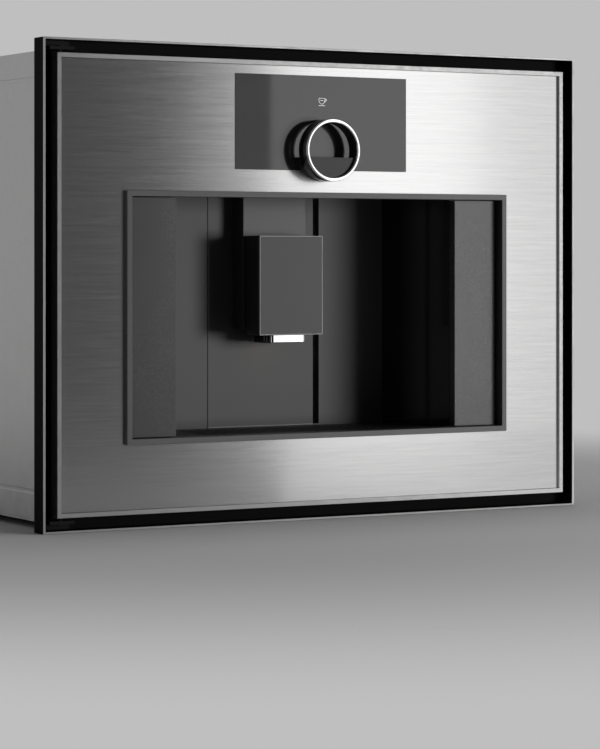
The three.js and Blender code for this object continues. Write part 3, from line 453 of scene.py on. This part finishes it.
def nicheBezel():
    s = bezelSizes
    x, y, z = spans("niche_bezel")
    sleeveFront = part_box("door_panel")[0].y
    bezel = block("nicheBezel", x, (y[0], sleeveFront), z)
    cutAway(bezel, block("hole", shrunk(x, s["lip"]), (y[0] - 1, y[1] + 1), shrunk(z, s["lip"])))
    softened(bezel, s["edge"], 3)
    out = s["lip"] - s["wall"]
    sleeve = block("sleeve", shrunk(x, out), (sleeveFront, y[1]), shrunk(z, out))
    cutAway(sleeve, block("hole", shrunk(x, s["lip"]), (y[0] - 1, y[1] + 1), shrunk(z, s["lip"])))
    dressed(merged(bezel, sleeve), "door", "anthracite", "anthracite", "niche_bezel")


nicheBezel()


signSizes = {"width": 0.0066, "height": 0.0056, "line": 0.00045, "lift": 0.00006, "above": 0.0187,
             "saucer": 0.0016}


def cupSign():  # a plain cup over its saucer, in thin light lines
    s = signSizes
    (x0, x1), (y0, _), (z0, z1) = spans("display_glass")
    middle = (x0 + x1) / 2
    base = (z0 + z1) / 2 + s["above"]
    w, h = s["width"] / 2, s["height"]
    cup = [(-w, h), (-w, h * 0.5), (-w * 0.75, h * 0.2), (-w * 0.3, 0), (w * 0.3, 0), (w * 0.75, h * 0.2),
           (w, h * 0.5), (w, h)]
    handle = [(w, h * 0.9), (w * 1.5, h * 0.85), (w * 1.55, h * 0.65), (w, h * 0.4)]
    level = [(-w * 0.55, h * 0.62), (w * 0.55, h * 0.62)]
    saucer = [(-w * 1.1, -s["saucer"]), (w * 1.1, -s["saucer"])]
    lines = []
    for points, closed in ((cup, True), (handle, False), (level, False), (saucer, False)):
        curve = bpy.data.curves.new("signLine", "CURVE")
        curve.dimensions = "3D"
        curve.bevel_depth = s["line"] / 2
        curve.bevel_resolution = 1
        curve.use_fill_caps = True
        spline = curve.splines.new("POLY")
        spline.points.add(len(points) - 1)
        for point, (u, v) in zip(spline.points, points):
            point.co = (middle + u, y0 - s["lift"], base + v, 1)
        spline.use_cyclic_u = closed
        line = bpy.data.objects.new("signLine", curve)
        bpy.context.scene.collection.objects.link(line)
        hold(line)
        bpy.ops.object.convert(target="MESH")
        lines.append(line)
    sign = merged(*lines)
    sign.name = "cupSign"
    dressed(sign, "door", "signLight", "display")


cupSign()

ringSizes = {"band": 0.00355, "rimEdge": 0.0009, "barrelEdge": 0.0002, "sleeveWall": 0.001,
             "sleeveEdge": 0.0002, "runGap": 0.0004, "chordDrop": 0.0069, "blockOut": 0.0004,
             "blockBack": 0.001, "blockEdge": 0.0003, "stemHalf": 0.008, "stemLow": 0.002, "stemHigh": 0.009,
             "overlap": 0.001}


def controlRing():
    s = ringSizes
    (x0, x1), rimY, (z0, z1) = spans("ring_rim")
    centre = ((x0 + x1) / 2, 0, (z0 + z1) / 2)
    outer = (x1 - x0) / 2
    barrelY = spans("control_ring")[1]
    carrierY = spans("ring_carrier")[1]
    sleeveIn = outer - s["band"]
    rim = turned("ringRim", (sleeveIn, outer), rimY, centre, s["rimEdge"], 4)
    dressed(rim, "turning_ring", "chrome", "chrome", "ring_rim")
    barrel = turned("ringBarrel", (sleeveIn + s["sleeveWall"] + s["runGap"], outer), barrelY, centre,
                    s["barrelEdge"], 2)
    dressed(barrel, "turning_ring", "ringBlack", "ring_black", "control_ring")
    sleeveY = (carrierY[0], barrelY[1] + s["runGap"])
    sleeve = turned("ringSleeve", (sleeveIn, sleeveIn + s["sleeveWall"]), sleeveY, centre, s["sleeveEdge"], 2)
    footY = (sleeveY[1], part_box("door_panel")[0].y)
    pieces = []
    plugY = (sleeveY[0] + s["blockBack"], sleeveY[1])
    for radius, (y0, y1) in ((sleeveIn + s["blockOut"], plugY), (outer, footY)):
        part = rod("ringBlock", radius, (centre[0], (y0 + y1) / 2, centre[2]), y1 - y0, "Y", ringSteps)
        bpy.ops.object.mode_set(mode="EDIT")
        bpy.ops.mesh.select_all(action="SELECT")
        bpy.ops.mesh.bisect(plane_co=(0, 0, centre[2] - s["chordDrop"]), plane_no=(0, 0, 1), use_fill=True,
                            clear_outer=True)
        bpy.ops.object.mode_set(mode="OBJECT")
        pieces.append(softened(part, s["blockEdge"], 2))
    stemZ = (centre[2] - outer + s["stemLow"], centre[2] - outer + s["stemHigh"])
    stem = block("stem", (-s["stemHalf"], s["stemHalf"]), (footY[1] - s["overlap"], carrierY[1]), stemZ)
    dressed(merged(sleeve, *pieces, stem), "door", "carrierBlack", "ring_black", "ring_carrier")


controlRing()
print("front made")


fasciaSizes = {"edge": 0.0005, "wall": 0.002}


def fascias():
    s = fasciaSizes
    for side in ("left", "right"):
        x, y, z = spans(side + "_fascia")
        skin = block(side + "Fascia", x, y, z)
        cutAway(skin, block("hollow", shrunk(x, s["wall"]), (y[0] + s["wall"], y[1] + 1),
                            shrunk(z, s["wall"])))
        dressed(softened(skin, s["edge"]), "housing", "fasciaPaint", "anthracite", side + "_fascia")


gridSizes = {"bars": 23, "slot": 0.005, "margin": 0.008, "edge": 0.0007}


def dripGrid():
    s = gridSizes
    x, y, z = spans("drip_grid")
    grid = block("dripGrid", x, y, z)
    pitch = (x[1] - x[0] - 2 * s["margin"]) / s["bars"]
    slots = []
    for i in range(s["bars"]):
        middle = x[0] + s["margin"] + pitch * (i + 0.5)
        slots.append(block("slot", (middle - s["slot"] / 2, middle + s["slot"] / 2), shrunk(y, s["margin"]),
                           (z[0] - 0.01, z[1] + 0.01)))
    cutAway(grid, merged(*slots))
    dressed(softened(grid, s["edge"], 2), "grid", "matBlack", "black", "drip_grid")


backSizes = {"lift": 0.029, "gap": 0.0004, "hoseStart": 0.0564, "hoseWidth": 0.0068, "ledge": 0.0015,
             "hoseDrop": 0.012, "seamAt": -0.0642, "seam": 0.0007, "groove": 0.0009, "edge": 0.0003,
             "sunk": 0.0003, "seamShort": 0.0005, "seamEdge": 0.0001, "trim": 0.0007, "trimShort": 0.0002,
             "trimEdge": 0.00015}


def nicheBack():  # flush back wall: a panel between a seam and the hose's slot, with the lift's slot in it
    s = backSizes
    x, y, z = spans("niche_back")
    through = (y[0] - 0.01, y[1] + 0.01)
    hose = (s["hoseStart"], s["hoseStart"] + s["hoseWidth"])
    seamX = (s["seamAt"] - s["seam"], s["seamAt"])
    wall = block("nicheBack", x, y, z)
    cutAway(wall, block("liftSlot", (-s["lift"], s["lift"]), through,
                        (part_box("lift_rail")[0].z - s["gap"], z[1] + 1)),
            block("hoseSlot", hose, through, (z[0] + s["ledge"], z[1] - s["hoseDrop"])),
            block("groove", seamX, (y[0] - 1, y[0] + s["groove"]), (z[0] - 1, z[1] + 1)))
    dressed(softened(wall, s["edge"], 2), "housing", "wallPaint", "anthracite", "niche_back")
    # a black strip sunk in the seam's groove: painted shade in the gap between the panels
    seam = block("seamShadeStrip", seamX, (y[0] + s["groove"] / 2, y[0] + s["groove"] + s["sunk"]),
                 shrunk(z, s["seamShort"]))
    dressed(softened(seam, s["seamEdge"], 1), "housing", "hingeBlack", "black")
    trim = block("panelTrim", (s["seamAt"] + s["trimShort"], hose[0] - s["trimShort"]),
                 (y[0] - s["trim"], y[0] + s["sunk"]),
                 (z[0] + s["ledge"] - s["trim"], z[0] + s["ledge"]))
    dressed(softened(trim, s["trimEdge"], 2), "housing", "panelEdge", "anthracite")


headSizes = {"faceEdge": 0.0007, "shellEdge": 0.0012, "wall": 0.002, "depth": 0.0277, "overlap": 0.001,
             "holeHalf": 0.0153, "holeDepthHalf": 0.007, "holeTop": 0.004}


def outletHead():  # painted front on a hollow shell, whose neck reaches back to the column
    s = headSizes
    x, y, z = spans("head_face")
    faceY = y[0]
    face = block("headFace", x, y, z)
    softened(face, s["faceEdge"], 3)
    dressed(face, "outlet", "headPaint", "anthracite", "head_face")
    x, y, z = spans("head_shell")
    stepBack = faceY + s["depth"]
    shell = block("headShell", x, (y[0], stepBack), z)
    neck = block("headNeck", x, (stepBack - s["overlap"], y[1]), (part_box("lift_column")[0].z, z[1]))
    applied(shell, "BOOLEAN", {"operation": "UNION", "solver": "EXACT", "object": neck})
    bpy.data.objects.remove(neck)
    pick(shell, lambda middle, normal: normal.y > 0.9 and middle.y > y[1] - s["overlap"])
    bpy.ops.mesh.delete(type="FACE")
    bpy.ops.object.mode_set(mode="OBJECT")
    softened(shell, s["shellEdge"], 3)
    applied(shell, "SOLIDIFY", {"thickness": s["wall"], "offset": -1.0})
    middle = (y[0] + stepBack) / 2
    cutAway(shell, block("neckHole", (-s["holeHalf"], s["holeHalf"]),
                         (middle - s["holeDepthHalf"], middle + s["holeDepthHalf"]),
                         (z[0] - 0.01, z[0] + s["holeTop"])))
    dressed(shell, "outlet", "matBlack", "black", "head_shell")


columnSizes = {"edge": 0.0006, "wall": 0.0025, "depth": 0.019, "railHalf": 0.0104, "railStart": 0.0216,
               "carriageHalf": 0.024, "carriageHeight": 0.11, "foot": 0.0016, "footEdge": 0.0003}


def liftColumn():  # hollow column, closed at its foot, with the carriage that slides on the rail
    s = columnSizes
    x, y, z = spans("lift_column")
    columnY = (y[0], y[0] + s["depth"])
    column = block("liftColumn", x, columnY, z)
    cutAway(column, block("hollow", shrunk(x, s["wall"]), shrunk(columnY, s["wall"]),
                          (z[0] - 1, z[1] - s["wall"])))
    softened(column, s["edge"], 3)
    foot = block("columnFoot", shrunk(x, s["wall"] / 2), shrunk(columnY, s["wall"] / 2),
                 (z[0] + s["foot"], z[0] + 2 * s["foot"]))
    softened(foot, s["footEdge"], 2)
    carriage = block("carriage", (-s["carriageHalf"], s["carriageHalf"]), (columnY[1] - s["wall"], y[1]),
                     (z[1] - s["carriageHeight"], z[1] - s["wall"] / 2))
    cutAway(carriage, block("railSlot", (-s["railHalf"], s["railHalf"]), (y[0] + s["railStart"], y[1] + 1),
                            (z[0] - 1, z[1] + 1)))
    softened(carriage, s["edge"], 2)
    dressed(merged(column, foot, carriage), "outlet", "anthracite", "anthracite", "lift_column")


outletSizes = {"front": 0.0022, "edge": 0.0003, "left": 0.0021, "right": 0.0015, "foot": 0.0009,
               "bodyTop": 0.0001, "bodyEdge": 0.0004, "boss": 0.015, "bossDepthHalf": 0.006, "bossIn": 0.0002,
               "bossEdge": 0.0005, "plateTop": 0.0002, "plateIn": 0.0004, "barWidth": 0.001, "barTop": 0.0004,
               "bars": ((0.0012, 0.0042), (0.009, 0.0105), (0.0145, 0.016)), "barEdge": 0.0002,
               "proud": 0.0001, "nozzle": 0.003, "pitch": 0.018, "drill": 0.02, "lens": 0.005,
               "lensHeight": 0.0016, "lensEdge": 0.0004}


def outletBlock():  # black body with thin bars on its flanks behind a satin metal front
    s = outletSizes
    x, y, z = spans("outlet_block")
    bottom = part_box("head_shell")[0].z
    bodyY = (y[0] + s["front"], y[1])
    body = block("outletBody", shrunk(x, s["proud"]), bodyY, (z[0], bottom - s["bodyTop"]))
    middle = (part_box("head_face")[1].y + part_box("head_face")[0].y + headSizes["depth"]) / 2
    boss = block("outletBoss", (-s["boss"], s["boss"]),
                 (middle - s["bossDepthHalf"], middle + s["bossDepthHalf"]), (bottom - s["bossIn"], z[1]))
    for side in (-1, 1):
        cutAway(body, rod("nozzle", s["nozzle"], (side * s["pitch"] / 2, middle, z[0]), s["drill"], "Z", 32))
    softened(body, s["bodyEdge"], 2, 50.0)
    boss = softened(boss, s["bossEdge"], 2)
    dressed(merged(body, boss), "outlet", "outletBlack", "black", "outlet_block")
    plate = block("outletFront", (x[0] + s["left"], x[1] - s["right"]),
                  (y[0], y[0] + s["front"] + s["plateIn"]), (z[0] + s["foot"], bottom - s["plateTop"]))
    dressed(softened(plate, s["edge"], 2), "outlet", "outletSteel", "chrome")
    bars = []
    for outside, inward in ((x[0], s["barWidth"]), (x[1], -s["barWidth"])):
        for start, end in s["bars"]:
            bars.append(block("bar", sorted((outside, outside + inward)), (y[0] + start, y[0] + end),
                              (z[0] + s["foot"], bottom - s["barTop"])))
    bars = softened(merged(*bars), s["barEdge"], 2)
    dressed(bars, "outlet", "borderSteel", "chrome").name = "outletBars"
    lens = rod("cupLight", s["nozzle"], (0, y[1] - s["lens"], z[0]), s["lensHeight"], "Z", 48)
    dressed(softened(lens, s["lensEdge"], 2), "outlet", "warmLens", "clear")


def looksOf(nodes, look):
    for node in nodes:
        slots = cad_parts[node].data.materials
        slots.clear()
        slots.append(looks[look])


nicheBack()
fascias()
dripGrid()
outletHead()
liftColumn()
outletBlock()
print("niche made")


sheetSizes = {"edge": 0.0004, "bead": 0.0035, "beadInset": 0.024, "press": 0.0006, "over": 0.001,
              "ventHalf": 0.03, "ventStart": 0.04, "ventPitch": 0.01, "ventHeight": 0.004, "vents": 6,
              "clear": 0.0003, "hole": 0.0025, "drill": 0.02, "head": 0.0034, "headHeight": 0.0008,
              "headEdge": 0.0001, "dimple": 0.0042, "dimpleDepth": 0.0009, "inset": 0.011,
              "cross": 0.0021, "crossWidth": 0.0004, "crossDepth": 0.7}


def openingsOf(node, x, y, z):  # cutters for the vents, the inlet and the mounting holes of one sheet
    s = sheetSizes
    cutters = []
    for i in range(s["vents"]):
        along = s["ventStart"] + i * s["ventPitch"]
        half = s["ventHeight"] / 2
        if node == "rear_panel":
            cutters.append(block("vent", (-s["ventHalf"], s["ventHalf"]), (y[0] - 1, y[1] + 1),
                                 (z[0] + along - half, z[0] + along + half)))
        if node == "top_cover":
            cutters.append(block("vent", (-s["ventHalf"], s["ventHalf"]),
                                 (y[1] - along - half, y[1] - along + half), (z[0] - 1, z[1] + 1)))
    if node == "rear_panel":
        inletX, _, inletZ = spans("power_inlet")
        cutters.append(block("inletHole", shrunk(inletX, -s["clear"]), (y[0] - 1, y[1] + 1),
                             shrunk(inletZ, -s["clear"])))
    if node in ("left_side_panel", "right_side_panel"):
        holeY = 2 * y[0] - front  # as far behind the frame as the frame is deep
        for share in (1 / 3, 2 / 3):
            centre = (sum(x) / 2, holeY, z[1] * share)
            cutters.append(rod("mountHole", s["hole"], centre, s["drill"], "X", 32))
    return cutters


def housingSheet(node, name, axis, sign):  # sheet with a pressed bead and three sunk screws on two edges
    s = sheetSizes
    box = spans(node)
    face = box[axis][(sign + 1) // 2]
    across = [span for i, span in enumerate(box) if i != axis]

    def sunk(flat, top, depth):
        full = list(flat)
        full.insert(axis, sorted((face + sign * top, face - sign * depth)))
        return block("sunk", *full)

    def peg(at, radius, top, depth):
        centre = list(at)
        centre.insert(axis, face + sign * (top - depth) / 2)
        return rod("peg", radius, centre, top + depth, "XYZ"[axis], 32)

    bead = sunk([shrunk(span, s["beadInset"]) for span in across], s["over"], s["press"])
    inner = [shrunk(span, s["beadInset"] + s["bead"]) for span in across]
    cutAway(bead, sunk(inner, 2 * s["over"], s["over"]))
    places = [(u, v) for u in shrunk(across[0], s["inset"]) for v in shrunk(across[1], s["inset"])]
    places += [(sum(across[0]) / 2, v) for v in shrunk(across[1], s["inset"])]
    dimples = [peg(at, s["dimple"], s["over"], s["dimpleDepth"]) for at in places]
    sheet = cutAway(block(name, *box), *openingsOf(node, *box), bead, merged(*dimples))
    dressed(softened(sheet, s["edge"], 2), "housing", "zinc", "zinc", node)
    heads = []
    for u, v in places:
        head = peg((u, v), s["head"], -s["clear"] / 2, s["clear"] / 2 + s["headHeight"])
        for wide, high in ((s["cross"], s["crossWidth"]), (s["crossWidth"], s["cross"])):
            cutAway(head, sunk([(u - wide, u + wide), (v - high, v + high)], s["over"],
                               s["headHeight"] * s["crossDepth"]))
        heads.append(head)
    screws = softened(merged(*heads), s["headEdge"], 1)
    dressed(screws, "housing", "aluminium", "zinc").name = name + "Screws"


for sheetNode, sheetName, sheetAxis, sheetSide in (
        ("left_side_panel", "leftPanel", 0, -1), ("right_side_panel", "rightPanel", 0, 1),
        ("top_cover", "topCover", 2, 1), ("rear_panel", "rearPanel", 1, 1)):
    housingSheet(sheetNode, sheetName, sheetAxis, sheetSide)
print("housing made")

# CAD solids that keep their shape get their finish
looksOf(("door_panel",), "steelSheet")
looksOf(("door_frame",), "borderSteel")
looksOf(("display_glass",), "displayGlass")
looksOf(("niche_shell",), "glossBlack")
looksOf(("niche_deck", "front_chassis", "door_liner", "grind_selector", "power_inlet"), "matBlack")
looksOf(("door_backing", "display_module", "drip_tray", "grounds_box", "tank_lid", "hopper_lid",
         "grinder_body", "brew_frame", "latch_housing"), "greyPlastic")
looksOf(("bulkhead", "base_pan"), "zinc")
looksOf(("upper_hinge", "lower_hinge"), "hingeBlack")
looksOf(("lift_rail", "fixed_burr", "turning_burr", "grinder_motor", "brew_motor",
         "brew_spindle", "heater", "latch_plunger"), "aluminium")
looksOf(("water_tank", "bean_hopper"), "clear")
looksOf(("brew_piston", "pump"), "brass")
looksOf(("front_left_foot", "front_right_foot", "rear_left_foot", "rear_right_foot"), "rubber")
looksOf(("tray_float", "tank_hose", "pressure_hose", "brew_hose"), "silicone")
looksOf(("control_board",), "board")


studio = {
    "floor": 0.62, "fadeStart": 0.45, "fadeEnd": 1.35, "skirt": 0.2, "below": 0.0003, "room": 0.09,
    "back": 0.52, "backFrom": -0.12, "backTo": 0.25, "spill": 0.35,
    "lamps": {  # at is measured from the front plane; matt and gloss say which surfaces the lamp lights
        "keyLamp": {"at": (2.04, -3.0, 0.25), "size": (1.1, 0.9), "radiance": 8.3, "matt": True,
                    "gloss": False, "aim": (-2.04, 3.0, 0), "spread": 60.0},
        "softbox": {"at": (0.705, -1.03, 0.5), "size": (0.35, 1.0), "radiance": 1.7, "matt": False,
                    "gloss": True, "aim": (0, 1, 0), "spread": 180.0},
        "softEdge": {"at": (0.465, -1.03, 0.5), "size": (0.13, 1.0), "radiance": 0.24, "matt": False,
                     "gloss": True, "aim": (0, 1, 0), "spread": 180.0},
        "floorCard": {"at": (0.74, -0.76, 0.002), "size": (0.6, 1.8), "radiance": 0.5, "matt": False,
                      "gloss": True, "turn": (180.0, 0.0, 30.0), "spread": 180.0},
        "sideGlow": {"at": (1.27, -1.03, 0.5), "size": (0.78, 1.0), "radiance": 1.05, "matt": False,
                     "gloss": True, "aim": (0, 1, 0), "spread": 180.0},
        "leftCard": {"at": (-1.5, -1.3, 0.5), "size": (0.9, 1.2), "radiance": 0.9, "matt": False,
                     "gloss": True, "aim": (0, 1, 0), "spread": 180.0},
        "topLamp": {"at": (0.15, 0.05, 1.4), "size": (0.9, 0.7), "radiance": 2.6, "matt": True,
                    "gloss": False, "aim": (0, 0, -1), "spread": 180.0},
    },
    "camera": {"lens": 134.287, "sensor": 36.0, "shift": -0.1629, "at": (-1.3777, -2.3223, 0.2576),
               "turn": -30.198},
}


def studioFloor():  # pale round floor whose edge melts into the room
    leaveAll()
    bpy.ops.mesh.primitive_circle_add(vertices=96, radius=studio["fadeEnd"] + studio["skirt"],
                                      fill_type="NGON", location=(0, 0, -studio["below"]))
    floor = bpy.context.object
    floor.name = "studioFloor"
    finish = Finish("paleFloor", {"Roughness": 0.85, "Specular IOR Level": 0.2})
    cloud = finish.noise([3.0, 3.0, 3.0], 2.0)
    finish.tint(cloud, grey(studio["floor"] * 0.99), grey(studio["floor"]))
    reach = finish.number("ShaderNodeVectorMath", {"operation": "LENGTH"}, {0: finish.place}, 1)
    fade = finish.ramp(reach, studio["fadeStart"], studio["fadeEnd"], kind="SMOOTHSTEP")
    clear = finish.node("ShaderNodeBsdfTransparent")
    both = finish.node("ShaderNodeMixShader", {}, {0: fade})
    finish.tree.links.new(finish.shader.outputs[0], both.inputs[1])
    finish.tree.links.new(clear.outputs[0], both.inputs[2])
    finish.tree.links.new(both.outputs[0], finish.tree.nodes["Material Output"].inputs["Surface"])
    floor.data.materials.append(finish.material)


def studioWorld():  # the camera sees an even backdrop, mirrors see a dark room with a pale far side
    world = bpy.data.worlds.new("studioRoom")
    bpy.context.scene.world = world
    world.use_nodes = True
    room = Look(world.node_tree, "Generated")
    back = room.ramp(room.y, studio["backFrom"], studio["backTo"], kind="SMOOTHSTEP")
    light = studio["room"] + back * (studio["back"] - studio["room"])
    path = room.node("ShaderNodeLightPath").outputs
    mirrored = Number(room, path["Is Glossy Ray"]) + Number(room, path["Is Transmission Ray"])
    light = light * room.ramp(mirrored, 0.0, 1.0, studio["spill"], 1.0)
    light = room.ramp(Number(room, path["Is Camera Ray"]), 0.0, 1.0, light, studio["back"])
    shade = room.node("ShaderNodeBackground", {}, {"Color": grey(1.0), "Strength": light})
    room.tree.links.new(shade.outputs[0], room.tree.nodes["World Output"].inputs["Surface"])


def areaLamp(name, lamp):
    x, y, z = lamp["at"]
    data = bpy.data.lights.new(name, "AREA")
    data.shape = "RECTANGLE"
    data.size, data.size_y = lamp["size"]
    data.energy = lamp["radiance"] * math.pi * data.size * data.size_y
    data.spread = math.radians(lamp["spread"])
    obj = bpy.data.objects.new(name, data)
    bpy.context.scene.collection.objects.link(obj)
    obj.location = (x, front + y, z)
    if "turn" in lamp:
        obj.rotation_euler = [math.radians(angle) for angle in lamp["turn"]]
    else:
        obj.rotation_euler = Vector(lamp["aim"]).to_track_quat("-Z", "Y").to_euler()
    obj.visible_camera = False
    obj.visible_diffuse = lamp["matt"]
    obj.visible_glossy = lamp["gloss"]


def studioCamera():
    view = studio["camera"]
    x, y, z = view["at"]
    data = bpy.data.cameras.new("photoView")
    data.lens = view["lens"]
    data.sensor_width = view["sensor"]
    data.shift_y = view["shift"]
    obj = bpy.data.objects.new("photoView", data)
    bpy.context.scene.collection.objects.link(obj)
    obj.location = (x, front + y, z)
    obj.rotation_euler = (math.pi / 2, 0, math.radians(view["turn"]))
    bpy.context.scene.camera = obj


studioFloor()
studioWorld()
for lampName, lamp in studio["lamps"].items():
    areaLamp(lampName, lamp)
studioCamera()
print("studio made")
